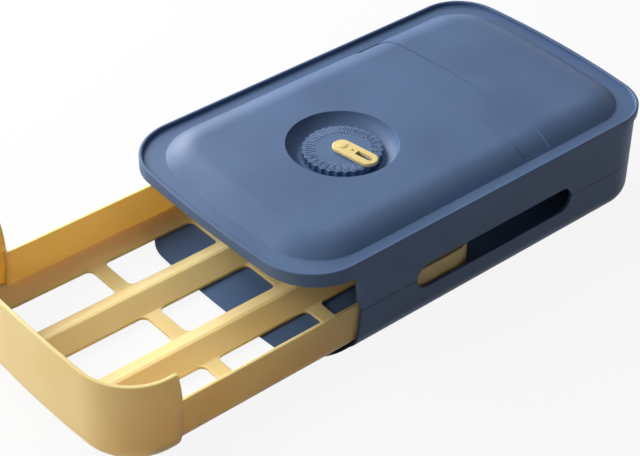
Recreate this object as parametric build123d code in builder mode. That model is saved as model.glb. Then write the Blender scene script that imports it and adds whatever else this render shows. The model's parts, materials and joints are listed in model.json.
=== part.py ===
from build123d import *
from math import acos, cos, radians, sin, sqrt
import os

# Egg storage drawer: a two-part moulded case, a drawer with a ridged and slotted egg tray, and a date dial
# with a pointer in a bowl of the lid. Millimetres.
# Origin: centre of the case's underside. X to the right, the drawer's front faces -Y, Z up.
# The drawer is drawn out by DRAWER_OPEN.

os.makedirs("parts", exist_ok=True)

# Case outline in plan
CASE_WIDTH = 200.0
CASE_LENGTH = 332.4
FRONT_BOW = 6.0          # swell of the front face over the full width
BACK_BOW = 8.0
FRONT_CORNER = 42.0
BACK_CORNER = 36.0

# Case heights
PARTING = 35.0           # joint between base and cover
TROUGH_HEIGHT = 75.0     # floor of the groove between lip and dome
LIP_HEIGHT = 3.0         # lip above the groove
DOME_HEIGHT = 7.7        # dome above the groove

# Case walls
WALL = 2.4
LIP_OVERHANG = 1.8       # the lip stands out from the side walls
LIP_WIDTH = 2.4
FLANGE = 2.5             # plate under the groove
BOTTOM_ROUND = 14.0
INNER_SLOPE = 6.0        # slope along the inner foot of base and drawer
EDGE_BREAK = 0.6
JOINT_LINE = 0.4         # slope that shows the joint between base and cover
TONGUE_HEIGHT = 2.0      # lap joint at the parting line
TONGUE_WIDTH = 1.1
LAP_CLEARANCE = 0.15

# Dome of the lid: an arc that dies into a flat crest
DOME_FOOT = 12.0         # inset of the dome's foot from the case outline
DOME_CREST = 34.0        # inset where the arc reaches the crest
DOME_EASE = 10.0         # the dome's corners are rounder than the outline's
DOME_RECESS = 3.5        # the dome ends further from the front than from the sides
DOME_WALL = 2.3
BAND_DEPTH = 0.7         # shallow band across the dome
BAND_FRONT = 47.5
BAND_BACK = 72.0
BAND_DROOP = 6.8         # how far the band's ends lie in front of its middle
BAND_REACH = 86.5

# Bowl and dial
DIAL_Y = -46.4
BOWL_RADIUS = 38.8
BOWL_FLOOR_RADIUS = 30.5
BOWL_CURVE = 13.5        # radius of the bowl's wall in section
BOWL_FOOT = 3.0          # the bowl's underside is wider than its floor by this
BOWL_DEPTH = 9.2
COLLAR_RADIUS = 4.2
COLLAR_HEIGHT = 4.5
RUNNING_FIT = 0.05
DIAL_RADIUS = 27.7
DIAL_THICKNESS = 4.2
DIAL_LIFT = 0.5          # dial above the bowl's floor
FLUTES = 30
FLUTE_WIDTH = 8.2        # on the outside; the flutes taper inward
FLUTE_DEPTH = 1.1
FLUTE_ANGLE = 35.0
POINTER_LENGTH = 36.6
POINTER_WIDTH = 13.7
POINTER_THICKNESS = 2.4
POINTER_TURN = 8.7       # degrees from +X, as drawn
POINTER_LIFT = 0.6       # pointer above the dial
WINDOW_START = 12.7      # from the pivot
WINDOW_LENGTH = 13.4
WINDOW_WIDTH = 4.3
STEM_RADIUS = 2.15
BARB = 0.7               # catch of the snap stem beyond its bore
STEM_SLIT = 1.0

# Openings of the case
MOUTH_EDGE = -113.8      # front edge of the side walls at mid height
MOUTH_BOW = 4.6          # the same edge leans forward by this at top and bottom
HEADER_MID_DEPTH = 7.5   # lower edge of the header under the lip's top
HEADER_END_DEPTH = 11.0
SILL = 0.2               # rim left round the floor's front edge
SLOT_HEIGHT = 20.0
SLOT_LENGTH = 145.5
SLOT_Y = 7.45
SLOT_Z = 34.5

# Drawer
DRAWER_OPEN = 142.0      # as drawn
DRAWER_TRAVEL = 218.0    # closed to the stops
SIDE_CLEARANCE = 1.0
FLOOR_CLEARANCE = 0.4
RUNNER_GAP = 0.05
TUB_WALL = 2.2
TUB_HEIGHT = 35.2        # side walls above the drawer's underside
TUB_BACK = 138.0
TUB_BACK_CORNER = 22.0
TUB_ROUND = 10.6
FASCIA_WALL = 2.4
FASCIA_GAP = 3.0         # under the header
FASCIA_LIFT = 0.2        # underside of the front above that of the tub
MOUTH_GAP = 0.6          # fascia ends to the side walls, closed
WEB = 2.7                # step that joins the fascia's wings to the side walls

# Egg tray
LANES = 3
LANE_STRIP = 15.8        # between the outer slots and the drawer's sides
GRATE_WIDTH = 32.0       # open slot under each lane
GRATE_FRONT = -137.0
GRATE_BACK = 111.5
CROSSBAR = 11.0
GRATES = 3
GRATE_CORNER = 5.0
RIDGE_HEIGHT = 7.0
RIDGE_CREST = 3.0
RIDGE_WALL = 2.3

# Stops and runners
STOP_HEIGHT = 0.7        # bead on the drawer and rib on the base, each proud by this
STOP_LENGTH = 4.0
STOP_RISE = 6.0          # upright length of rib and bead, under the side slots
RUNNER_WIDTH = 3.0
GUIDE_DEPTH = 3.0        # rib over the drawer's side walls
GUIDE_THICKNESS = 2.0
JAMB_THICKNESS = 2.5     # upright ribs along the mouth, as deep as the guides
JAMB_LIFT = 2.0          # above the drawer's side walls

# Levels and radii that follow from the sizes above
LIP_TOP = TROUGH_HEIGHT + LIP_HEIGHT
DOME_TOP = TROUGH_HEIGHT + DOME_HEIGHT
FLANGE_BOTTOM = TROUGH_HEIGHT - FLANGE
HEADER_MID = LIP_TOP - HEADER_MID_DEPTH
HEADER_END = LIP_TOP - HEADER_END_DEPTH
CREST_RUN = DOME_CREST - DOME_FOOT
DOME_RADIUS = (CREST_RUN**2 + DOME_HEIGHT**2) / (2 * DOME_HEIGHT)
BOWL_FLOOR = DOME_TOP - BOWL_DEPTH
DIAL_BOTTOM = BOWL_FLOOR + DIAL_LIFT
DIAL_TOP = DIAL_BOTTOM + DIAL_THICKNESS
POINTER_BOTTOM = DIAL_TOP + POINTER_LIFT
COLLAR_TOP = BOWL_FLOOR + COLLAR_HEIGHT
BORE_RADIUS = STEM_RADIUS + RUNNING_FIT
HUB_BOTTOM = BOWL_FLOOR - DOME_WALL
WALL_OUT = LIP_OVERHANG
WALL_IN = LIP_OVERHANG + WALL
DRAWER_BOTTOM = WALL + FLOOR_CLEARANCE
TRAY_TOP = DRAWER_BOTTOM + TUB_WALL
TUB_TOP = DRAWER_BOTTOM + TUB_HEIGHT
TUB_HALF = CASE_WIDTH / 2 - WALL_IN - SIDE_CLEARANCE
FASCIA_MID = HEADER_MID - FASCIA_GAP
FASCIA_END = HEADER_END - FASCIA_GAP
FASCIA_EDGE = MOUTH_EDGE - MOUTH_GAP
MOUTH_CORNER = MOUTH_EDGE - MOUTH_BOW
MOUTH_MID_Z = LIP_TOP / 2 - 3
GUIDE_BOTTOM = SLOT_Z + SLOT_HEIGHT / 2 + 1.5
FRONT = -CASE_LENGTH / 2


def case_plan(inset, ease=0, recess=0):
    """Plan outline of the case moved inward by inset: straight sides, bowed ends, round corners.

    The corners are rounder by ease, and the front end lies further back by recess.
    """
    half = CASE_WIDTH / 2 - inset
    ends = []
    for bow in (FRONT_BOW, BACK_BOW):
        radius = ((CASE_WIDTH / 2) ** 2 + bow**2) / (2 * bow)
        ends.append(CASE_LENGTH / 2 - radius + sqrt((radius - inset) ** 2 - half**2))
    front, back = ends
    front -= recess
    with BuildSketch() as plan:
        with BuildLine():
            ThreePointArc((-half, -front), (0, inset + recess - CASE_LENGTH / 2), (half, -front))
            Line((half, -front), (half, back))
            ThreePointArc((half, back), (0, CASE_LENGTH / 2 - inset), (-half, back))
            Line((-half, back), (-half, -front))
        make_face()
        fillet(plan.vertices().group_by(Axis.Y)[0], max(FRONT_CORNER - inset, 4) + ease)
        fillet(plan.vertices().group_by(Axis.Y)[-1], max(BACK_CORNER - inset, 4) + ease)
    return plan.sketch


def dome_body(depth, foot):
    """Pillow form at this depth under the dome's skin: a body with a large round on top, cut off at the foot."""
    radius = DOME_RADIUS - depth
    top = DOME_TOP - depth
    plan = case_plan(DOME_CREST - radius, DOME_EASE, DOME_RECESS)
    with BuildPart() as dome:
        with BuildSketch(Plane.XY.offset(top - radius - 1)):
            add(plan)
        extrude(amount=radius + 1)
        fillet(dome.edges().group_by(Axis.Z)[-1], radius)
        split(bisect_by=Plane.XY.offset(foot), keep=Keep.TOP)
    return dome.part


def dome_cavity(depth, foot):
    """Hollow under the dome's wall: a few straight steps that stay behind the skin's arc."""
    radius = DOME_RADIUS - depth
    centre = DOME_TOP - DOME_RADIUS
    lean = acos((foot - centre) / radius)
    levels = [lean, lean * 0.55, 0]
    with BuildPart() as cavity:
        for angle in levels:
            with BuildSketch(Plane.XY.offset(centre + radius * cos(angle))):
                add(case_plan(DOME_CREST - radius * sin(angle), DOME_EASE, DOME_RECESS))
        loft(ruled=True)
    return cavity.part


def tub_body(plan, bottom, top, radius, open_front=False, sloped=False):
    """Upright body on a plan with its bottom edge rounded, but not along an open front."""
    with BuildPart() as tub:
        with BuildSketch(Plane.XY.offset(bottom)):
            add(plan)
        extrude(amount=top - bottom)
        rim = tub.edges().group_by(Axis.Z)[0].sort_by(Axis.Y)
        rim = rim[1:] if open_front else rim
        if sloped:
            chamfer(rim, radius)
        else:
            fillet(rim, radius)
    return tub.part


def tub_plan(half, front, back, corner):
    """Straight-sided plan with round rear corners."""
    with BuildSketch() as plan:
        with BuildLine():
            Polyline((-half, front), (half, front), (half, back), (-half, back), (-half, front))
        make_face()
        fillet(plan.vertices().group_by(Axis.Y)[-1], corner)
    return plan.sketch


def mouth_region(edge, bottom, top):
    """Region ahead of the bowed front edge of the side walls, in the YZ plane."""
    reach = CASE_LENGTH
    with BuildSketch() as region:
        with BuildLine():
            ThreePointArc((edge - MOUTH_BOW, 0), (edge, MOUTH_MID_Z), (edge - MOUTH_BOW, 2 * MOUTH_MID_Z))
            Polyline(
                (edge - MOUTH_BOW, 2 * MOUTH_MID_Z),
                (-reach, 2 * MOUTH_MID_Z),
                (-reach, 0),
                (edge - MOUTH_BOW, 0),
            )
        make_face()
        with Locations((-reach, bottom - reach / 2), (-reach, top + reach / 2)):
            Rectangle(4 * reach, reach, mode=Mode.SUBTRACT)
    return region.sketch


def below_arch(end, middle, low):
    """Region under the curved line over the drawer's front, in the XZ plane."""
    reach = CASE_WIDTH / 2 + 5
    tip = middle - (middle - end) * (2 * reach / CASE_WIDTH) ** 2
    with BuildSketch() as region:
        with BuildLine():
            ThreePointArc((-reach, tip), (0, middle), (reach, tip))
            Polyline((reach, tip), (reach, low), (-reach, low), (-reach, tip))
        make_face()
    return region.sketch


outline = case_plan(0)
lip_inside = case_plan(LIP_WIDTH)
wall_outside = case_plan(WALL_OUT)
wall_inside = case_plan(WALL_IN)
tongue_outside = case_plan(WALL_IN - TONGUE_WIDTH)
rebate_outside = case_plan(WALL_IN - TONGUE_WIDTH - LAP_CLEARANCE)
fascia_inside = case_plan(WALL_OUT + FASCIA_WALL)
dome_skin = dome_body(0, TROUGH_HEIGHT)
dome_hollow = dome_cavity(DOME_WALL, FLANGE_BOTTOM - 0.1)
band_floor = dome_body(BAND_DEPTH, TROUGH_HEIGHT - BAND_DEPTH)
cover_mouth = mouth_region(MOUTH_EDGE, PARTING - 1, FLANGE_BOTTOM)
base_mouth = mouth_region(MOUTH_EDGE, WALL + SILL, PARTING + TONGUE_HEIGHT + 1)
header_arch = below_arch(HEADER_END, HEADER_MID, PARTING)
jamb_x = CASE_WIDTH / 2 - WALL_OUT - (GUIDE_DEPTH + WALL) / 2
jamb_length = MOUTH_EDGE + JAMB_THICKNESS - MOUTH_CORNER
jamb_y = MOUTH_CORNER + jamb_length / 2
sides = Plane.YZ
dial_plane = Plane(origin=(0, DIAL_Y, 0), x_dir=(1, 0, 0), z_dir=(0, -1, 0))
dial_axis = Axis((0, DIAL_Y, 0), (0, 0, 1))
pointer_way = (cos(radians(POINTER_TURN)), sin(radians(POINTER_TURN)), 0)
pointer_plane = Plane(origin=(0, DIAL_Y, POINTER_BOTTOM), x_dir=pointer_way, z_dir=(0, 0, 1))

# Blank of the shallow band: two gently bowed lines across the dome, cut down to the band's floor
with BuildPart() as band_blank:
    with BuildSketch(Plane.XY.offset(TROUGH_HEIGHT + 0.2)):
        with BuildLine():
            front_end = BAND_FRONT - BAND_DROOP
            back_end = BAND_BACK - BAND_DROOP
            ThreePointArc((-BAND_REACH, front_end), (0, BAND_FRONT), (BAND_REACH, front_end))
            Line((BAND_REACH, front_end), (BAND_REACH, back_end))
            ThreePointArc((BAND_REACH, back_end), (0, BAND_BACK), (-BAND_REACH, back_end))
            Line((-BAND_REACH, back_end), (-BAND_REACH, front_end))
        make_face()
    extrude(amount=DOME_HEIGHT + 2)
    add(band_floor, mode=Mode.SUBTRACT)

# Cover: walls, lip, groove, dome with the dial's bowl, header over the drawer
with BuildPart() as top_cover:
    with BuildSketch(Plane.XY.offset(PARTING)):
        add(wall_outside)
    extrude(amount=FLANGE_BOTTOM - PARTING)
    with BuildSketch(Plane.XY.offset(PARTING)):
        add(wall_inside)
    extrude(amount=FLANGE_BOTTOM - PARTING, mode=Mode.SUBTRACT)
    # Rebate of the lap joint
    with BuildSketch(Plane.XY.offset(PARTING)):
        add(rebate_outside)
    extrude(amount=TONGUE_HEIGHT, mode=Mode.SUBTRACT)
    # Guide ribs over the drawer's side walls
    with BuildSketch(Plane.XY.offset(GUIDE_BOTTOM)):
        add(wall_inside)
        Rectangle(CASE_WIDTH - 2 * (WALL_IN + GUIDE_DEPTH), CASE_LENGTH, mode=Mode.SUBTRACT)
        with Locations((0, FRONT)):
            Rectangle(CASE_WIDTH, 2 * (MOUTH_CORNER - FRONT), mode=Mode.SUBTRACT)
        with Locations((0, -FRONT)):
            Rectangle(CASE_WIDTH, 2 * (-FRONT - TUB_BACK + TUB_BACK_CORNER), mode=Mode.SUBTRACT)
    extrude(amount=GUIDE_THICKNESS)
    # Jambs of the mouth, over the drawer's side walls
    with BuildSketch(Plane.XY.offset(TUB_TOP + JAMB_LIFT)):
        with Locations((jamb_x, jamb_y), (-jamb_x, jamb_y)):
            Rectangle(GUIDE_DEPTH + WALL, jamb_length)
    extrude(amount=FLANGE_BOTTOM - TUB_TOP - JAMB_LIFT)
    # Mouth for the drawer
    with BuildSketch(sides):
        add(cover_mouth)
    extrude(amount=CASE_WIDTH, both=True, mode=Mode.SUBTRACT)
    # Side slots, upper part
    with BuildSketch(sides):
        with Locations((SLOT_Y, SLOT_Z)):
            SlotOverall(SLOT_LENGTH, SLOT_HEIGHT)
    extrude(amount=CASE_WIDTH, both=True, mode=Mode.SUBTRACT)
    # Header: a band flush with the lip, arched over the drawer
    with BuildSketch(Plane.XY.offset(HEADER_END - 2)):
        add(outline)
        add(lip_inside, mode=Mode.SUBTRACT)
        with Locations((0, MOUTH_CORNER + CASE_LENGTH)):
            Rectangle(2 * CASE_WIDTH, 2 * CASE_LENGTH, mode=Mode.SUBTRACT)
    extrude(amount=FLANGE_BOTTOM - HEADER_END + 2)
    with BuildSketch(Plane.XZ.offset(-MOUTH_CORNER)):
        add(header_arch)
    extrude(amount=CASE_LENGTH, mode=Mode.SUBTRACT)
    # Flange and lip with the groove between lip and dome
    with BuildSketch(Plane.XY.offset(FLANGE_BOTTOM)):
        add(outline)
    extrude(amount=LIP_TOP - FLANGE_BOTTOM)
    with BuildSketch(Plane.XY.offset(TROUGH_HEIGHT)):
        add(lip_inside)
    extrude(amount=LIP_HEIGHT, mode=Mode.SUBTRACT)
    lip_edges = top_cover.edges().filter_by_position(Axis.Z, LIP_TOP, LIP_TOP)
    chamfer(lip_edges, EDGE_BREAK)
    # Dome
    add(dome_skin)
    add(dome_hollow, mode=Mode.SUBTRACT)
    add(band_blank.part, mode=Mode.SUBTRACT)
    # Bowl with the dial's collar
    with BuildSketch(dial_plane):
        with BuildLine():
            Polyline(
                (0, DOME_TOP),
                (0, HUB_BOTTOM),
                (BOWL_FLOOR_RADIUS + BOWL_FOOT, HUB_BOTTOM),
                (BOWL_RADIUS + BOWL_FOOT, DOME_TOP),
                (0, DOME_TOP),
            )
        make_face()
    revolve(axis=dial_axis)
    with BuildSketch(dial_plane):
        with BuildLine():
            Polyline(
                (BOWL_RADIUS, DOME_TOP),
                (BOWL_RADIUS, DOME_TOP + 3),
                (0, DOME_TOP + 3),
                (0, COLLAR_TOP),
                (COLLAR_RADIUS, COLLAR_TOP),
                (COLLAR_RADIUS, BOWL_FLOOR),
                (BOWL_FLOOR_RADIUS, BOWL_FLOOR),
            )
            RadiusArc((BOWL_FLOOR_RADIUS, BOWL_FLOOR), (BOWL_RADIUS, DOME_TOP), -BOWL_CURVE)
        make_face()
    revolve(axis=dial_axis, mode=Mode.SUBTRACT)
    with BuildSketch(Plane((0, DIAL_Y, HUB_BOTTOM - 1))):
        Circle(BORE_RADIUS)
    extrude(amount=COLLAR_TOP - HUB_BOTTOM + 2, mode=Mode.SUBTRACT)

# Base: floor with a large bottom radius, lower side walls, tongue of the lap joint, runners and stop ribs
with BuildPart() as base_shell:
    add(tub_body(wall_outside, 0, PARTING, BOTTOM_ROUND))
    chamfer(base_shell.edges().group_by(Axis.Z)[-1], JOINT_LINE)
    add(tub_body(wall_inside, WALL, PARTING + 1, INNER_SLOPE, sloped=True), mode=Mode.SUBTRACT)
    with BuildSketch(Plane.XY.offset(PARTING)):
        add(tongue_outside)
        add(wall_inside, mode=Mode.SUBTRACT)
    extrude(amount=TONGUE_HEIGHT)
    with BuildSketch(sides):
        add(base_mouth)
    extrude(amount=CASE_WIDTH, both=True, mode=Mode.SUBTRACT)
    with BuildSketch(sides):
        with Locations((SLOT_Y, SLOT_Z)):
            SlotOverall(SLOT_LENGTH, SLOT_HEIGHT)
    extrude(amount=CASE_WIDTH, both=True, mode=Mode.SUBTRACT)
    # Runners under the drawer's outer floor strips
    with BuildSketch(Plane.XY.offset(WALL)):
        with Locations((-TUB_HALF + TUB_ROUND + RUNNER_WIDTH, 0), (TUB_HALF - TUB_ROUND - RUNNER_WIDTH, 0)):
            Rectangle(RUNNER_WIDTH, CASE_LENGTH - 2 * FRONT_CORNER)
    extrude(amount=FLOOR_CLEARANCE - RUNNER_GAP)
    # Stop ribs just inside the mouth
    with BuildSketch(Plane.XY.offset(BOTTOM_ROUND)):
        with Locations(
            (CASE_WIDTH / 2 - WALL_IN, MOUTH_EDGE + STOP_LENGTH),
            (WALL_IN - CASE_WIDTH / 2, MOUTH_EDGE + STOP_LENGTH),
        ):
            Rectangle(2 * STOP_HEIGHT, STOP_LENGTH)
    extrude(amount=STOP_RISE)


# Forms of the drawer, drawn closed
tub_front = FASCIA_EDGE - MOUTH_BOW - WEB
tub_outer_plan = tub_plan(TUB_HALF, tub_front, TUB_BACK, TUB_BACK_CORNER)
tub_inner_plan = tub_plan(TUB_HALF - TUB_WALL, tub_front - 1, TUB_BACK - TUB_WALL, TUB_BACK_CORNER - TUB_WALL)
fascia_block = tub_body(wall_outside, 0, LIP_TOP, BOTTOM_ROUND)
fascia_hollow = tub_body(fascia_inside, TRAY_TOP, LIP_TOP, INNER_SLOPE, sloped=True)
tub_block = tub_body(tub_outer_plan, DRAWER_BOTTOM, TUB_TOP, TUB_ROUND, open_front=True)
tub_hollow = tub_body(tub_inner_plan, TRAY_TOP, LIP_TOP, INNER_SLOPE, open_front=True, sloped=True)
fascia_reach = mouth_region(FASCIA_EDGE, DRAWER_BOTTOM + FASCIA_LIFT, LIP_TOP)
web_reach = mouth_region(FASCIA_EDGE - WEB, DRAWER_BOTTOM, TUB_TOP)
fascia_arch = below_arch(FASCIA_END, FASCIA_MID, -5)
grate_length = (GRATE_BACK - GRATE_FRONT - (GRATES - 1) * CROSSBAR) / GRATES
grate_middle = (GRATE_FRONT + GRATE_BACK) / 2
grate_end = TUB_HALF - LANE_STRIP
lane_pitch = (2 * grate_end - GRATE_WIDTH) / (LANES - 1)
ridge_half = (lane_pitch - GRATE_WIDTH) / 2
ridge_xs = [(i - (LANES - 2) / 2) * lane_pitch for i in range(LANES - 1)]
ridge_front = Plane(origin=(0, GRATE_FRONT, 0), x_dir=(1, 0, 0), z_dir=(0, -1, 0))
hollow_front = ridge_front.offset(-RIDGE_WALL)
round_x = TUB_HALF - TUB_ROUND
round_z = DRAWER_BOTTOM + TUB_ROUND
core_round = TUB_ROUND - TUB_WALL / 2
stop_bead_y = MOUTH_EDGE + STOP_LENGTH * 2 + 0.2 + DRAWER_TRAVEL

# Hollow of the drawer's front, as far back as the step to the side walls
with BuildPart() as front_hollow:
    add(fascia_hollow)
    with BuildSketch(sides):
        add(web_reach)
    extrude(amount=CASE_WIDTH, both=True, mode=Mode.INTERSECT)

# Drawer: wrap-round front, low tub behind it, ridged and slotted egg tray
with BuildPart() as drawer:
    add(fascia_block)
    with BuildSketch(sides):
        add(fascia_reach)
    extrude(amount=CASE_WIDTH, both=True, mode=Mode.INTERSECT)
    with BuildSketch(Plane.XZ.offset(CASE_LENGTH)):
        add(fascia_arch)
    extrude(amount=-2 * CASE_LENGTH, mode=Mode.INTERSECT)
    with BuildSketch(Plane.XY.offset(TUB_TOP)):
        add(fascia_inside)
    extrude(amount=LIP_TOP - TUB_TOP, mode=Mode.SUBTRACT)
    add(tub_block)
    add(front_hollow.part, mode=Mode.SUBTRACT)
    add(tub_hollow, mode=Mode.SUBTRACT)
    # Slopes along the side walls
    with BuildSketch(ridge_front):
        with BuildLine():
            Polyline(
                (round_x, round_z - core_round),
                (grate_end, round_z - core_round),
                (grate_end, TRAY_TOP),
                (TUB_HALF - TUB_WALL, TRAY_TOP + RIDGE_HEIGHT),
                (round_x + core_round, round_z),
            )
            ThreePointArc(
                (round_x + core_round, round_z),
                (round_x + core_round * sqrt(0.5), round_z - core_round * sqrt(0.5)),
                (round_x, round_z - core_round),
            )
        make_face()
        mirror(about=Plane.YZ)
    extrude(amount=GRATE_FRONT - GRATE_BACK)
    # Ridges between the lanes, hollow underneath
    with BuildSketch(ridge_front):
        for x in ridge_xs:
            with BuildLine():
                Polyline(
                    (x - ridge_half, DRAWER_BOTTOM),
                    (x - ridge_half, TRAY_TOP),
                    (x - RIDGE_CREST / 2, TRAY_TOP + RIDGE_HEIGHT),
                    (x + RIDGE_CREST / 2, TRAY_TOP + RIDGE_HEIGHT),
                    (x + ridge_half, TRAY_TOP),
                    (x + ridge_half, DRAWER_BOTTOM),
                    (x - ridge_half, DRAWER_BOTTOM),
                )
            make_face()
    extrude(amount=GRATE_FRONT - GRATE_BACK)
    with BuildSketch(hollow_front):
        for x in ridge_xs:
            with BuildLine():
                Polyline(
                    (x - ridge_half + RIDGE_WALL, DRAWER_BOTTOM),
                    (x - RIDGE_CREST / 3, TRAY_TOP + RIDGE_HEIGHT - RIDGE_WALL),
                    (x + RIDGE_CREST / 3, TRAY_TOP + RIDGE_HEIGHT - RIDGE_WALL),
                    (x + ridge_half - RIDGE_WALL, DRAWER_BOTTOM),
                    (x - ridge_half + RIDGE_WALL, DRAWER_BOTTOM),
                )
            make_face()
    extrude(amount=GRATE_FRONT - GRATE_BACK + 2 * RIDGE_WALL, mode=Mode.SUBTRACT)
    # Slots under the lanes
    with BuildSketch(Plane.XY.offset(DRAWER_BOTTOM)):
        with Locations((0, grate_middle)):
            with GridLocations(lane_pitch, grate_length + CROSSBAR, LANES, GRATES):
                RectangleRounded(GRATE_WIDTH, grate_length, GRATE_CORNER)
    extrude(amount=TUB_WALL, mode=Mode.SUBTRACT)
    # Stop beads near the rear corners
    with BuildSketch(Plane.XY.offset(BOTTOM_ROUND)):
        with Locations((-TUB_HALF, stop_bead_y), (TUB_HALF, stop_bead_y)):
            Rectangle(2 * STOP_HEIGHT, STOP_LENGTH)
    extrude(amount=STOP_RISE)

# Date dial: fluted wheel that runs on the collar
with BuildPart() as date_dial:
    with BuildSketch(Plane((0, DIAL_Y, DIAL_BOTTOM))):
        Circle(DIAL_RADIUS)
        Circle(COLLAR_RADIUS + RUNNING_FIT, mode=Mode.SUBTRACT)
        with PolarLocations(DIAL_RADIUS, FLUTES, start_angle=180 / FLUTES):
            Trapezoid(FLUTE_WIDTH, 2 * FLUTE_DEPTH, FLUTE_ANGLE, rotation=90, mode=Mode.SUBTRACT)
    extrude(amount=DIAL_THICKNESS)

# Pointer: plate with a window, its stem snaps through the collar
with BuildPart() as date_pointer:
    with BuildSketch(pointer_plane):
        with Locations((POINTER_LENGTH / 2 - POINTER_WIDTH / 2, 0)):
            SlotOverall(POINTER_LENGTH, POINTER_WIDTH)
        with Locations((WINDOW_START + WINDOW_LENGTH / 2, 0)):
            SlotOverall(WINDOW_LENGTH, WINDOW_WIDTH, mode=Mode.SUBTRACT)
        with Locations((WINDOW_START + WINDOW_WIDTH / 4, 0)):
            Rectangle(WINDOW_WIDTH / 2, WINDOW_WIDTH, mode=Mode.SUBTRACT)
    extrude(amount=POINTER_THICKNESS)
    chamfer(date_pointer.faces().sort_by(Axis.Z)[-1].outer_wire().edges(), EDGE_BREAK)
    with BuildSketch(dial_plane):
        with BuildLine():
            Polyline(
                (0, POINTER_BOTTOM + POINTER_THICKNESS / 2),
                (STEM_RADIUS, POINTER_BOTTOM + POINTER_THICKNESS / 2),
                (STEM_RADIUS, HUB_BOTTOM - RUNNING_FIT),
                (STEM_RADIUS + BARB, HUB_BOTTOM - RUNNING_FIT),
                (STEM_RADIUS + BARB, HUB_BOTTOM - BARB),
                (STEM_RADIUS - BARB, HUB_BOTTOM - 3 * BARB),
                (0, HUB_BOTTOM - 3 * BARB),
                (0, POINTER_BOTTOM + POINTER_THICKNESS / 2),
            )
        make_face()
    revolve(axis=dial_axis)
    with BuildSketch(Plane((0, DIAL_Y, HUB_BOTTOM - 4 * BARB))):
        Rectangle(STEM_SLIT, 4 * STEM_RADIUS)
    extrude(amount=COLLAR_TOP - HUB_BOTTOM + 2 * BARB, mode=Mode.SUBTRACT)

drawer.part.locate(Location((0, -DRAWER_OPEN, 0)))

top_cover.part.label = "top_cover"
base_shell.part.label = "base_shell"
drawer.part.label = "drawer"
date_dial.part.label = "date_dial"
date_pointer.part.label = "date_pointer"
export_step(top_cover.part, "parts/top_cover.step")
export_step(base_shell.part, "parts/base_shell.step")
export_step(drawer.part, "parts/drawer.step")
export_step(date_dial.part, "parts/date_dial.step")
export_step(date_pointer.part, "parts/date_pointer.step")
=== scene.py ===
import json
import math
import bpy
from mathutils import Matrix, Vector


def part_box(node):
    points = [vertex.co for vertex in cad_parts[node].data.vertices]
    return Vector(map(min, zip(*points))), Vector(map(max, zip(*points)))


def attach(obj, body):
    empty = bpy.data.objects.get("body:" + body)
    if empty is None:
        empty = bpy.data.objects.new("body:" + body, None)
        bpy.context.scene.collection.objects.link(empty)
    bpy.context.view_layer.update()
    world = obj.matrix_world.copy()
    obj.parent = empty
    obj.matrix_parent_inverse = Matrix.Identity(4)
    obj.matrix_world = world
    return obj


bl_info = {
    "name": "Egg Drawer Finishes",
    "version": (1, 0, 0),
    "blender": (4, 5, 0),
    "location": "3D View > Sidebar > Egg Drawer",
    "description": "Finishes the moulded case, drawer and date dial in a plain studio",
    "category": "Object",
}

import bmesh
import bpy
import numpy as np
from bpy.props import FloatProperty, FloatVectorProperty, IntProperty, PointerProperty
from bpy.types import Operator, Panel, PropertyGroup
from mathutils import Matrix

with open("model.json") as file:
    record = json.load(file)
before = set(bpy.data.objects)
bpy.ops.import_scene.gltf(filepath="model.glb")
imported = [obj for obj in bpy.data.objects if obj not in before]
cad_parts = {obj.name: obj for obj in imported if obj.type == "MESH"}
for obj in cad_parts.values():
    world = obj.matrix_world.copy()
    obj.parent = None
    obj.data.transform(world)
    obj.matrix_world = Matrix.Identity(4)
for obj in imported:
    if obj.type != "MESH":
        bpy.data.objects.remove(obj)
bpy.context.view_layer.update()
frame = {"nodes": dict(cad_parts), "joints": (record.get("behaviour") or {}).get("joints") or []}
nodes = frame["nodes"]
MM = 0.001
WHITE = (1, 1, 1, 1)

# Moulded plastic
PIGMENT_DRIFT = 60 * MM  # flow in the mould leaves the pigment uneven over this length
GLOSS_PATCH = 9 * MM  # width of the patches in which the gloss differs a little
GLOSS_BELOW, GLOSS_ABOVE = 0.03, 0.04  # how far the roughness goes to each side there
GRAIN_DEPTH = 0.05 * MM
REFRACTION = 1.5  # index of polypropylene, ABS and the brown arrow's film
SPECULAR = 0.16  # the grain of the mould scatters most of the gloss
EDGE_PAINT_WIDTH = 1.0 * MM  # width of the edges painted paler, as painted highlight and wear
PALE_GAIN, PALE_LIFT = 1.5, 0.03  # colour of a paler edge, painted highlight and wear: times the gain, plus the lift
SEAM_CORE, SEAM_EDGE = 0.25 * MM, 0.5 * MM  # half width of the joint line of painted gap shade, full and faded
SEAM_SHADE_SHARE = 0.12  # share of the colour that is left in the joint line, as painted gap shade
SCATTER = (1.0, 0.9, 0.55)  # how far red, green and blue light goes in the cream plastic
SCATTER_REACH = 4.0 * MM

# Figures on the dial
FIGURE_RISE = 0.72  # height of a figure of the built-in font at a text size of 1
FIGURE_FILL = 0.86  # share of its place on the ring that a figure may fill
FIGURE_SINK = 0.005 * MM  # their foot lies this far inside the dial
# Edges of the figures: rounding, and how far they are painted paler as highlight and wear
FIGURE_EDGE, FIGURE_WEAR_AND_HIGHLIGHT = 0.1 * MM, 0.16
FIGURE_STEPS = 3  # straight runs in each curve of a figure
MERGE = 1e-4  # points closer than this share of the text size are one
SHARP = math.radians(35)  # edges of new pieces that turn by more than this stay sharp

# Cap over the pivot, in shares of its radius and height: a step round a low crown
CAP_SINK = 0.1 * MM
CAP_RIM = ((1, 0.55), (0.95, 0.75), (0.84, 0.75), (0.8, 0.45))
CAP_CROWN = ((0.76, 0.45), (0.72, 0.9), (0.5, 1), (0.25, 1.04), (0, 1.05))

# Brown arrow, painted shade standing in for a sunk mark's shade: share of its outline, and height
# in millimetres
SHADE_MARK_PROFILE = ((1, -0.05), (1, 0.04), (0.94, 0.07), (0, 0.07))
SHADE_MARK_GRAIN = 0.8 * MM
SHADE_MARK_LIFT = 1.35  # how much lighter the arrow's painted shade is in its paler patches
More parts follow.
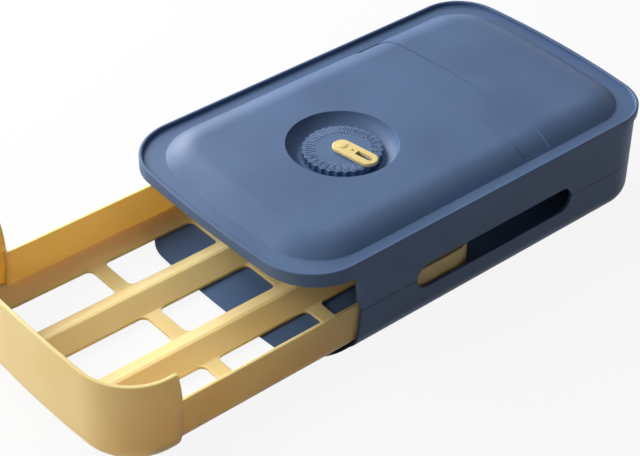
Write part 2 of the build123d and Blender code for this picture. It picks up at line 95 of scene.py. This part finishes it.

# Studio, in metres
FLOOR_RADIUS = 6
FLOOR_SIDES = 96
FLOOR_DROP = 0.05 * MM  # keeps the floor clear of the underside
SKY_TINT = (0.93, 0.96, 1.0, 1)
LAMP_AIM = np.array([0.0, -0.06, 0.06])  # middle of the case
LAMP_REACH = 1.25  # from there to each lamp
LAMP_SIZE = 0.7
# Name of each lamp, its heading off +X and its height, both in degrees
LAMPS = (("key", 229, 40), ("side", 174, 22), ("top", 200, 88), ("front", 264, 20))
SENSOR = 36.0  # width of the camera's frame, in millimetres
VIEW_END = 50


def linear(hex_code):
    """Linear RGB of an sRGB hex colour: each channel goes through the sRGB transfer curve."""
    values = np.array([int(hex_code[i : i + 2], 16) for i in (0, 2, 4)]) / 255.0
    return tuple(np.where(values <= 0.04045, values / 12.92, ((values + 0.055) / 1.055) ** 2.4))


def colour(name, description, hex_code):
    """Property for one colour of a finish."""
    return FloatVectorProperty(
        name=name,
        description=description,
        subtype="COLOR",
        size=3,
        min=0,
        max=1,
        default=linear(hex_code),
    )


def length(name, description, millimetres):
    """Property for one length."""
    return FloatProperty(
        name=name,
        description=description,
        unit="LENGTH",
        precision=5,
        default=millimetres * MM,
    )


def share(name, description, value):
    """Property for a share from 0 to 1."""
    return FloatProperty(
        name=name, description=description, subtype="FACTOR", min=0, max=1, default=value
    )


def angle(name, description, degrees):
    """Property for one angle."""
    return FloatProperty(
        name=name, description=description, subtype="ANGLE", default=math.radians(degrees)
    )


def power(name, description, watts):
    """Property for the power of one lamp."""
    return FloatProperty(name=name, description=description, unit="POWER", default=watts)


# Sizes and colours that a user would change. Real mould grain is 0.1 to 0.2 mm wide, too fine
# to show in the render, so each grain is drawn several times as coarse.

DENSER = "The same plastic where its pigment lies a little denser"
SATIN = "Roughness of the satin moulding"
GRAIN = "Width of the grain that the eroded mould leaves"
ROUNDING = "Radius to which edges look rounded"
# Edges painted paler: painted highlight, partly standing for wear
PALER_EDGES = "How far worn edges turn paler"


class EggCaseLook(PropertyGroup):
    """Cover and base"""

    shade: colour("Blue", "Colour of the cover and the base", "586F93")
    deep: colour("Deeper blue", DENSER, "52688C")
    roughness: share("Roughness", SATIN, 0.46)
    grain: length("Grain", GRAIN, 0.9)
    edge: length("Edge", ROUNDING, 0.4)
    wear_and_highlight: share("Wear", PALER_EDGES, 0.4)


class EggDrawerLook(PropertyGroup):
    """Drawer"""

    shade: colour("Cream", "Colour of the drawer", "FADC9E")
    deep: colour("Deeper cream", DENSER, "F7D694")
    roughness: share("Roughness", SATIN, 0.4)
    grain: length("Grain", GRAIN, 0.9)
    edge: length("Edge", ROUNDING, 0.7)
    wear_and_highlight: share("Wear", PALER_EDGES, 0.4)
    milkiness: share("Milkiness", "How much light goes into the plastic and out again", 0.6)


class EggDialLook(PropertyGroup):
    """Date dial and its figures"""

    shade: colour("Blue", "Colour of the dial", "5A7297")
    deep: colour("Deeper blue", DENSER, "546B8F")
    # Figures painted paler all over: a painted highlight, for the light their raised edges catch
    highlighted: colour("Worn blue", "Colour of the raised figures, paler from use", "8295BA")
    roughness: share("Roughness", SATIN, 0.42)
    grain: length("Grain", GRAIN, 0.7)
    edge: length("Edge", ROUNDING, 0.35)
    wear_and_highlight: share("Wear", PALER_EDGES, 0.45)
    figures: IntProperty(
        name="Figures", description="Days on the scale", default=31, min=2, max=60
    )
    figure_height: length("Figure height", "Height of a figure, along the radius", 7.0)
    figure_ring: length("Figure ring", "Radius of the middle of the figures", 22.2)
    relief: length("Relief", "Height of the figures above the dial", 0.4)


class EggPointerLook(PropertyGroup):
    """Pointer, cap and arrow"""

    shade: colour("Cream", "Colour of the pointer", "F1D995")
    deep: colour("Deeper cream", DENSER, "ECD189")
    # The arrow's brown is painted shade, as the shade in a sunk mark would be
    mark: colour("Mark", "Colour of the small arrow", "8B6A34")
    roughness: share("Roughness", SATIN, 0.38)
    grain: length("Grain", GRAIN, 0.7)
    edge: length("Edge", ROUNDING, 0.3)
    wear_and_highlight: share("Wear", PALER_EDGES, 0.6)
    cap_radius: length("Cap radius", "Radius of the round cap over the pivot", 3.7)
    cap_height: length("Cap height", "Height of the cap above the pointer", 0.45)
    arrow_place: length("Arrow place", "Distance from the pivot to the arrow", 9.0)
    arrow_size: length("Arrow size", "Length of the arrow's side", 3.0)
    turn: angle("Turn", "Way of the pointer at rest, from +X", 8.7)


class EggStudio(PropertyGroup):
    """Floor, lights and camera"""

    floor: colour("Floor", "Colour of the floor", "D6D6D4")
    glow: share("Glow", "White that the camera and reflections see in the floor", 0.9)
    sky: share("Sky", "Strength of the even light from all round", 0.03)
    key: power("Key", "Power of the soft light in front, to the left", 10.5)
    side: power("Side", "Power of the low soft light on the left", 18.5)
    top: power("Top", "Power of the soft light overhead", 2.0)
    front: power("Front", "Power of the low soft light in front", 2.0)
    azimuth: angle("Azimuth", "Direction to the camera", 49.067)
    elevation: angle("Elevation", "Height of the camera's view", 37.76)
    roll: angle("Roll", "Tilt of the camera", 0.9)
    lens: FloatProperty(
        name="Lens", description="Focal length", unit="CAMERA", default=103.52
    )
    place: FloatVectorProperty(
        name="Place",
        description="Centre of the camera",
        subtype="TRANSLATION",
        default=(0.759, -0.7234, 0.7976),
    )


LOOKS = {
    "egg_case": EggCaseLook,
    "egg_drawer": EggDrawerLook,
    "egg_dial": EggDialLook,
    "egg_pointer": EggPointerLook,
    "egg_studio": EggStudio,
}


# Surfaces


def new_piece(name, points, faces, material, body, slot):
    """Mesh piece riding on a CAD body; its slot is not used."""
    mesh = bpy.data.meshes.new(name)
    mesh.from_pydata(points.tolist(), [], faces)
    mesh.validate()
    mesh.materials.append(material)
    mesh.polygons.foreach_set("use_smooth", np.ones(len(mesh.polygons), dtype=bool))
    mesh.set_sharp_from_angle(angle=SHARP)
    piece = bpy.data.objects.new(name, mesh)
    bpy.context.scene.collection.objects.link(piece)
    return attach(piece, body)


def skin(rings):
    """Closed skin over rings of points, laid from the outer foot to the middle of the top.

    Quads join neighbours i and i+1 of ring k with those of ring k+1. A fan of triangles closes
    the middle, where the last ring shrinks to one point, and one face closes the foot.
    """
    count, around = rings.shape[0] - 1, rings.shape[1]
    points = np.vstack([rings[:-1].reshape(-1, 3), rings[-1].mean(axis=0)])
    i = np.arange(around)
    k = np.arange(count - 1)[:, None]
    after = (i + 1) % around
    lower, upper = k * around, (k + 1) * around
    quads = np.stack([lower + i, lower + after, upper + after, upper + i], axis=-1)
    last = (count - 1) * around
    fan = np.stack([last + i, last + after, np.full(around, len(points) - 1)], axis=-1)
    return points, quads.reshape(-1, 4).tolist() + fan.tolist() + [i[::-1].tolist()]


def lathe(profile, centre, around=64):
    """Turned form: x = r cos t, y = r sin t, z = h.

    (r, h) runs along the profile, and t goes from 0 to a full turn.
    """
    r, h = np.array(profile, float).T
    t = np.linspace(0, 2 * np.pi, around, endpoint=False)
    x, y = np.outer(r, np.cos(t)), np.outer(r, np.sin(t))
    z = np.repeat(h[:, None], around, axis=1)
    return skin(np.stack([x, y, z], axis=-1) + np.array(centre))


def raised_outline(outline, steps, centre):
    """Low relief on a flat outline: each ring is the outline times a share, at one height."""
    shares, heights = np.array(steps, float).T
    flat = shares[:, None, None] * outline[None]
    level = np.broadcast_to(heights[:, None, None], (len(shares), len(outline), 1))
    return skin(np.concatenate([flat, level], axis=-1) + np.array(centre))


def figure_mesh(text, size, relief):
    """Points and faces of one raised number, flat on the XY plane, its middle at the origin."""
    curve = bpy.data.curves.new("figure_form", "FONT")
    curve.body = text
    curve.size = size
    curve.align_x = "CENTER"
    curve.align_y = "CENTER"
    curve.resolution_u = FIGURE_STEPS
    curve.extrude = relief / 2
    holder = bpy.data.objects.new("figure_form", curve)
    bpy.context.scene.collection.objects.link(holder)
    bpy.context.view_layer.update()
    formed = holder.evaluated_get(bpy.context.evaluated_depsgraph_get())
    mesh = bpy.data.meshes.new_from_object(formed)
    form = bmesh.new()
    form.from_mesh(mesh)
    bmesh.ops.remove_doubles(form, verts=form.verts, dist=size * MERGE)
    bmesh.ops.recalc_face_normals(form, faces=form.faces)
    form.to_mesh(mesh)
    form.free()
    points = np.empty(len(mesh.vertices) * 3)
    mesh.vertices.foreach_get("co", points)
    faces = [list(face.vertices) for face in mesh.polygons]
    bpy.data.objects.remove(holder)
    bpy.data.curves.remove(curve)
    bpy.data.meshes.remove(mesh)
    return points.reshape(-1, 3), faces


def figure_ring(look, centre, face_height):
    """Ring of raised numbers, 01 and on, each with its top towards the rim.

    Number n stands at the angle -n times the pitch. Its flat form (u, v) goes to the radius
    ring + v along that angle and u across it, where u is squeezed to fit the number's place.
    """
    pitch = 2 * math.pi / look.figures
    place = pitch * (look.figure_ring - look.figure_height / 2) * FIGURE_FILL
    size = look.figure_height / FIGURE_RISE
    all_points, all_faces, start = [], [], 0
    for n in range(look.figures):
        points, faces = figure_mesh(f"{n + 1:02d}", size, look.relief)
        u, v, w = points.T
        across = u * min(1.0, place / np.ptp(u))
        along = look.figure_ring + v - (v.max() + v.min()) / 2
        way = -n * pitch
        x = centre.x + along * math.cos(way) + across * math.sin(way)
        y = centre.y + along * math.sin(way) - across * math.cos(way)
        z = face_height + w + look.relief / 2 - FIGURE_SINK
        all_points.append(np.stack([x, y, z], axis=-1))
        all_faces += [[start + i for i in face] for face in faces]
        start += len(points)
    return np.vstack(all_points), all_faces


# Finishes


def empty_tree(owner):
    """Node tree of a material or a world, with nothing in it."""
    owner.use_nodes = True
    owner.node_tree.nodes.clear()
    return owner.node_tree


def add_node(tree, kind, inputs=(), **settings):
    """Add a shader node with its settings; an input gets a plain value or a link."""
    node = tree.nodes.new(kind)
    for name, value in settings.items():
        setattr(node, name, value)
    for key, value in dict(inputs).items():
        if isinstance(value, bpy.types.NodeSocket):
            tree.links.new(value, node.inputs[key])
        else:
            node.inputs[key].default_value = value
    return node


def pigment(tree, place, shade, deep):
    """Colour that drifts slowly between two shades, as flow in the mould leaves it."""
    drift = add_node(
        tree,
        "ShaderNodeTexNoise",
        {"Vector": place, "Scale": 1 / PIGMENT_DRIFT, "Detail": 2.0, "Roughness": 0.45},
    ).outputs["Fac"]
    density = add_node(
        tree,
        "ShaderNodeMapRange",
        {"Value": drift, "From Min": 0.35, "From Max": 0.65},
        interpolation_type="SMOOTHSTEP",
    ).outputs[0]
    return add_node(
        tree, "ShaderNodeMix", {0: density, 6: (*shade, 1), 7: (*deep, 1)}, data_type="RGBA"
    ).outputs[2]


def edge_wear_and_highlight(tree, base, shade, wear_and_highlight):
    """Painted highlight, partly standing for wear: paler colour where a normal averaged over the
    edge leaves the surface's own normal.
    """
    wide = add_node(tree, "ShaderNodeBevel", {"Radius": EDGE_PAINT_WIDTH}, samples=4).outputs["Normal"]
    own = add_node(tree, "ShaderNodeNewGeometry").outputs["Normal"]
    agree = add_node(
        tree, "ShaderNodeVectorMath", {0: wide, 1: own}, operation="DOT_PRODUCT"
    ).outputs["Value"]
    painted_sheen = add_node(
        tree,
        "ShaderNodeMapRange",
        {"Value": agree, "From Min": 0.98, "From Max": 0.72, "To Max": wear_and_highlight},
    ).outputs[0]
    pale = tuple(min(1.0, c * PALE_GAIN + PALE_LIFT) for c in shade)
    return add_node(
        tree, "ShaderNodeMix", {0: painted_sheen, 6: base, 7: (*pale, 1)}, data_type="RGBA"
    ).outputs[2]


def painted_gap_shade(tree, base, shade, place, seam):
    """Painted shade of the gap where the two mouldings meet: a dark line round the case at one
    height.
    """
    level = add_node(tree, "ShaderNodeSeparateXYZ", {0: place}).outputs["Z"]
    above = add_node(tree, "ShaderNodeMath", {0: level, 1: seam}, operation="SUBTRACT").outputs[0]
    away = add_node(tree, "ShaderNodeMath", {0: above}, operation="ABSOLUTE").outputs[0]
    line = add_node(
        tree,
        "ShaderNodeMapRange",
        {
            "Value": away,
            "From Min": SEAM_CORE,
            "From Max": SEAM_EDGE,
            "To Min": 1.0,
            "To Max": 0.0,
        },
    ).outputs[0]
    gap_shade = tuple(c * SEAM_SHADE_SHARE for c in shade)
    return add_node(
        tree, "ShaderNodeMix", {0: line, 6: base, 7: (*gap_shade, 1)}, data_type="RGBA"
    ).outputs[2]


def moulding(look, **changes):
    """Settings of a moulded finish, as its property group holds them, with any changes."""
    names = ("shade", "deep", "roughness", "grain", "edge", "wear_and_highlight")
    return {name: changes.get(name, getattr(look, name)) for name in names}


def moulded_plastic(
    name, shade, deep, roughness, grain, edge, wear_and_highlight, seam=None, milkiness=0.0
):
    """Polypropylene or ABS, injection moulded in an eroded mould.

    To the eye it is satin: a fine grain breaks the highlights, the gloss is a little uneven,
    the pigment drifts faintly, the edges are soft, and they are painted paler, a painted
    highlight that also stands for wear.
    """
    material = bpy.data.materials.new(name)
    tree = empty_tree(material)
    place = add_node(tree, "ShaderNodeTexCoord").outputs["Object"]
    # Edges painted paler: painted highlight, partly standing for wear
    base = edge_wear_and_highlight(tree, pigment(tree, place, shade, deep), shade, wear_and_highlight)
    # Painted shade in the gap between the two mouldings
    if seam is not None:
        base = painted_gap_shade(tree, base, shade, place, seam)
    fine = add_node(
        tree,
        "ShaderNodeTexNoise",
        {"Vector": place, "Scale": 1 / grain, "Detail": 3.0, "Roughness": 0.6},
    ).outputs["Fac"]
    soft = add_node(tree, "ShaderNodeBevel", {"Radius": edge}, samples=6).outputs["Normal"]
    grained = add_node(
        tree,
        "ShaderNodeBump",
        {"Height": fine, "Normal": soft, "Strength": 0.25, "Distance": GRAIN_DEPTH},
    ).outputs["Normal"]
    patch = add_node(
        tree, "ShaderNodeTexNoise", {"Vector": place, "Scale": 1 / GLOSS_PATCH, "Detail": 2.0}
    ).outputs["Fac"]
    gloss = add_node(
        tree,
        "ShaderNodeMapRange",
        {
            "Value": patch,
            "From Min": 0.3,
            "From Max": 0.7,
            "To Min": roughness - GLOSS_BELOW,
            "To Max": roughness + GLOSS_ABOVE,
        },
    ).outputs[0]
    shader = add_node(
        tree,
        "ShaderNodeBsdfPrincipled",
        {
            "Base Color": base,
            "Roughness": gloss,
            "Normal": grained,
            "IOR": REFRACTION,
            "Specular IOR Level": SPECULAR,
            "Metallic": 0.0,
            "Subsurface Weight": milkiness,
            "Subsurface Radius": SCATTER,
            "Subsurface Scale": SCATTER_REACH,
        },
    )
    add_node(tree, "ShaderNodeOutputMaterial", {"Surface": shader.outputs[0]})
    return material


def painted_groove_shade(name, shade):
    """Painted shade of a sunk mark, laid on as a thin, slightly uneven matt film."""
    material = bpy.data.materials.new(name)
    tree = empty_tree(material)
    place = add_node(tree, "ShaderNodeTexCoord").outputs["Object"]
    film = add_node(
        tree, "ShaderNodeTexNoise", {"Vector": place, "Scale": 1 / SHADE_MARK_GRAIN, "Detail": 2.0}
    ).outputs["Fac"]
    thin = tuple(min(1.0, c * SHADE_MARK_LIFT) for c in shade)
    base = add_node(
        tree, "ShaderNodeMix", {0: film, 6: (*shade, 1), 7: (*thin, 1)}, data_type="RGBA"
    ).outputs[2]
    shader = add_node(
        tree,
        "ShaderNodeBsdfPrincipled",
        {"Base Color": base, "Roughness": 0.6, "IOR": REFRACTION},
    )
    add_node(tree, "ShaderNodeOutputMaterial", {"Surface": shader.outputs[0]})
    return material


def white_to_rays(tree):
    """1 for camera, glossy and transmission rays, which meet a white background; else 0."""
    path = add_node(tree, "ShaderNodeLightPath").outputs
    seen = path["Is Camera Ray"]
    for ray in ("Is Glossy Ray", "Is Transmission Ray"):
        either = add_node(tree, "ShaderNodeMath", {0: seen, 1: path[ray]}, operation="MAXIMUM")
        seen = either.outputs[0]
    return seen


def plain_floor(name, shade, glow):
    """Seamless studio paper, matt and even.

    It looks nearly white, also in reflections, while it keeps the object's shadow and throws
    back only the light of its own colour.
    """
    material = bpy.data.materials.new(name)
    tree = empty_tree(material)
    lit = add_node(
        tree, "ShaderNodeMath", {0: white_to_rays(tree), 1: glow}, operation="MULTIPLY"
    ).outputs[0]
    paper = add_node(
        tree, "ShaderNodeBsdfDiffuse", {"Color": (*shade, 1), "Roughness": 0.0}
    ).outputs[0]
    white = add_node(tree, "ShaderNodeEmission", {"Color": WHITE, "Strength": 1.0}).outputs[0]
    shader = add_node(tree, "ShaderNodeMixShader", {0: lit, 1: paper, 2: white})
    add_node(tree, "ShaderNodeOutputMaterial", {"Surface": shader.outputs[0]})
    return material


def dress(node, material):
    """Give a CAD node its finish."""
    mesh = nodes[node].data
    mesh.materials.clear()
    mesh.materials.append(material)


# Stage


def studio_floor(look):
    """Round sheet just under the case: x = r cos t, y = r sin t."""
    t = np.linspace(0, 2 * np.pi, FLOOR_SIDES, endpoint=False)
    x, y = FLOOR_RADIUS * np.cos(t), FLOOR_RADIUS * np.sin(t)
    rim = np.stack([x, y, np.full(FLOOR_SIDES, -FLOOR_DROP)], axis=-1)
    mesh = bpy.data.meshes.new("floor")
    mesh.from_pydata(rim.tolist(), [], [list(range(FLOOR_SIDES))])
    mesh.materials.append(plain_floor("studio_paper", look.floor, look.glow))
    floor = bpy.data.objects.new("floor", mesh)
    bpy.context.scene.collection.objects.link(floor)


def studio_surroundings(look):
    """Weak even light from all round, which the camera and reflections see as plain white."""
    world = bpy.data.worlds.new("studio_surroundings")
    bpy.context.scene.world = world
    tree = empty_tree(world)
    seen = white_to_rays(tree)
    strength = add_node(
        tree, "ShaderNodeMapRange", {"Value": seen, "To Min": look.sky, "To Max": 1.0}
    ).outputs[0]
    tint = add_node(
        tree, "ShaderNodeMix", {0: seen, 6: SKY_TINT, 7: WHITE}, data_type="RGBA"
    ).outputs[2]
    light = add_node(tree, "ShaderNodeBackground", {"Color": tint, "Strength": strength})
    add_node(tree, "ShaderNodeOutputWorld", {"Surface": light.outputs[0]})


def stand(name, data, right, up, back, place):
    """Put a lamp or a camera at a place, with its X, Y and Z axes along right, up and back."""
    holder = bpy.data.objects.new(name, data)
    bpy.context.scene.collection.objects.link(holder)
    matrix = np.eye(4)
    matrix[:3] = np.stack([right, up, back, place], axis=-1)
    holder.matrix_world = Matrix(matrix.tolist())
    return holder


def soft_lamp(name, watts, heading, height):
    """Square soft light that faces the case, from a heading in degrees off +X and a height."""
    light = bpy.data.lights.new(name, "AREA")
    light.shape = "SQUARE"
    light.size = LAMP_SIZE
    light.energy = watts
    h, e = math.radians(heading), math.radians(height)
    back = np.array([math.cos(h) * math.cos(e), math.sin(h) * math.cos(e), math.sin(e)])
    right = np.cross([0, 0, 1.0], back)
    right /= np.linalg.norm(right)
    stand(name, light, right, np.cross(back, right), back, LAMP_AIM + LAMP_REACH * back)


def photo_camera(look):
    """Camera whose axes turn by azimuth, elevation and roll about its centre."""
    a, e, r = look.azimuth, look.elevation, look.roll
    back = np.array([math.sin(a) * math.cos(e), -math.cos(a) * math.cos(e), math.sin(e)])
    level = np.array([math.cos(a), math.sin(a), 0.0])
    over = np.cross(back, level)
    right = math.cos(r) * level + math.sin(r) * over
    up = math.cos(r) * over - math.sin(r) * level
    camera = bpy.data.cameras.new("photo_camera")
    camera.lens = look.lens
    camera.sensor_width = SENSOR
    camera.clip_end = VIEW_END
    return stand("photo_camera", camera, right, up, back, look.place)


# Operators


class EGGDRAWER_OT_case(Operator):
    """Finish the cover and the base as satin blue mouldings with a line of painted gap shade
    between them
    """

    bl_idname = "egg_drawer.case"
    bl_label = "Case"

    def execute(self, context):
        # Polypropylene: a soft satin that shows no sharp highlight
        plastic = moulded_plastic(
            "satin_blue_polypropylene",
            **moulding(context.scene.egg_case),
            seam=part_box("top_cover")[0].z,
        )
        dress("top_cover", plastic)
        dress("base_shell", plastic)
        return {"FINISHED"}


class EGGDRAWER_OT_drawer(Operator):
    """Finish the drawer as one satin cream moulding, a little milky"""

    bl_idname = "egg_drawer.drawer"
    bl_label = "Drawer"

    def execute(self, context):
        look = context.scene.egg_drawer
        # Polypropylene with little pigment: milky, so that its thin walls glow faintly
        plastic = moulded_plastic(
            "satin_cream_polypropylene", **moulding(look), milkiness=look.milkiness
        )
        dress("drawer", plastic)
        return {"FINISHED"}


class EGGDRAWER_OT_dial(Operator):
    """Finish the date dial and raise its ring of plain figures"""

    bl_idname = "egg_drawer.dial"
    bl_label = "Date Dial"

    def execute(self, context):
        look = context.scene.egg_dial
        # ABS from a finer grained mould: a little glossier than the case
        dress("date_dial", moulded_plastic("satin_blue_abs", **moulding(look)))
        low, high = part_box("date_dial")
        points, faces = figure_ring(look, (low + high) / 2, high.z)
        # The same ABS, painted paler all over as a highlight on the raised figures
        highlighted = {"shade": look.highlighted, "deep": look.highlighted, "edge": FIGURE_EDGE, "wear_and_highlight": FIGURE_WEAR_AND_HIGHLIGHT}
        painted_sheen = moulded_plastic("rubbed_blue_abs", **moulding(look, **highlighted))
        new_piece("dial_figures", points, faces, painted_sheen, "dial_body", "dial_blue")
        return {"FINISHED"}


class EGGDRAWER_OT_pointer(Operator):
    """Finish the pointer, with the cap over its pivot and the small arrow beside its window"""

    bl_idname = "egg_drawer.pointer"
    bl_label = "Pointer"

    def execute(self, context):
        look = context.scene.egg_pointer
        # ABS again, the glossiest of the mouldings
        plastic = moulded_plastic("satin_cream_abs", **moulding(look))
        dress("date_pointer", plastic)
        hinge = next(joint for joint in frame["joints"] if joint["name"] == "pointer_turn")
        pivot = (*hinge["pos_m"][:2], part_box("date_pointer")[1].z)
        r, h = look.cap_radius, look.cap_height
        profile = [(r, -CAP_SINK)] + [(r * a, h * b) for a, b in CAP_RIM + CAP_CROWN]
        cap = lathe(profile, pivot)
        new_piece("pivot_cap", *cap, plastic, "pointer_body", "pointer_cream")
        # Triangle whose first corner points along the pointer
        corners = look.turn + np.radians([0, 120, 240])
        outline = np.stack([np.cos(corners), np.sin(corners)], axis=-1)
        outline *= look.arrow_size / math.sqrt(3)
        way = np.array([math.cos(look.turn), math.sin(look.turn), 0.0])
        steps = [(part, height * MM) for part, height in SHADE_MARK_PROFILE]
        arrow = raised_outline(outline, steps, pivot + look.arrow_place * way)
        # Brown painted shade on a thin raised arrow, standing in for the shade of a sunk mark
        groove_shade_paint = painted_groove_shade("brown_pad_print", look.mark)
        new_piece("window_arrow", *arrow, groove_shade_paint, "pointer_body", "pointer_cream")
        return {"FINISHED"}


class EGGDRAWER_OT_studio(Operator):
    """Set the floor, the soft lights, the white surroundings and the camera"""

    bl_idname = "egg_drawer.studio"
    bl_label = "Studio"

    def execute(self, context):
        look = context.scene.egg_studio
        context.scene.view_settings.view_transform = "Standard"
        studio_floor(look)
        studio_surroundings(look)
        for name, heading, height in LAMPS:
            soft_lamp(name, getattr(look, name), heading, height)
        context.scene.camera = photo_camera(look)
        return {"FINISHED"}


OPERATORS = (
    EGGDRAWER_OT_case,
    EGGDRAWER_OT_drawer,
    EGGDRAWER_OT_dial,
    EGGDRAWER_OT_pointer,
    EGGDRAWER_OT_studio,
)


class EGGDRAWER_PT_sidebar(Panel):
    """Steps that finish the egg drawer"""

    bl_label = "Egg Drawer"
    bl_idname = "EGGDRAWER_PT_sidebar"
    bl_space_type = "VIEW_3D"
    bl_region_type = "UI"
    bl_category = "Egg Drawer"

    def draw(self, context):
        for operator, look in zip(OPERATORS, LOOKS):
            box = self.layout.box()
            box.operator(operator.bl_idname)
            group = getattr(context.scene, look)
            for name in group.bl_rna.properties.keys():
                if name not in ("rna_type", "name"):
                    box.prop(group, name)


def register():
    for name, look in LOOKS.items():
        bpy.utils.register_class(look)
        setattr(bpy.types.Scene, name, PointerProperty(type=look))
    for item in OPERATORS + (EGGDRAWER_PT_sidebar,):
        bpy.utils.register_class(item)


def unregister():
    for item in (EGGDRAWER_PT_sidebar,) + OPERATORS[::-1]:
        bpy.utils.unregister_class(item)
    for name, look in LOOKS.items():
        delattr(bpy.types.Scene, name)
        bpy.utils.unregister_class(look)


def main():
    """Run every step in order."""
    register()
    bpy.ops.egg_drawer.case()
    bpy.ops.egg_drawer.drawer()
    bpy.ops.egg_drawer.dial()
    bpy.ops.egg_drawer.pointer()
    bpy.ops.egg_drawer.studio()


if __name__ == "__main__":
    main()
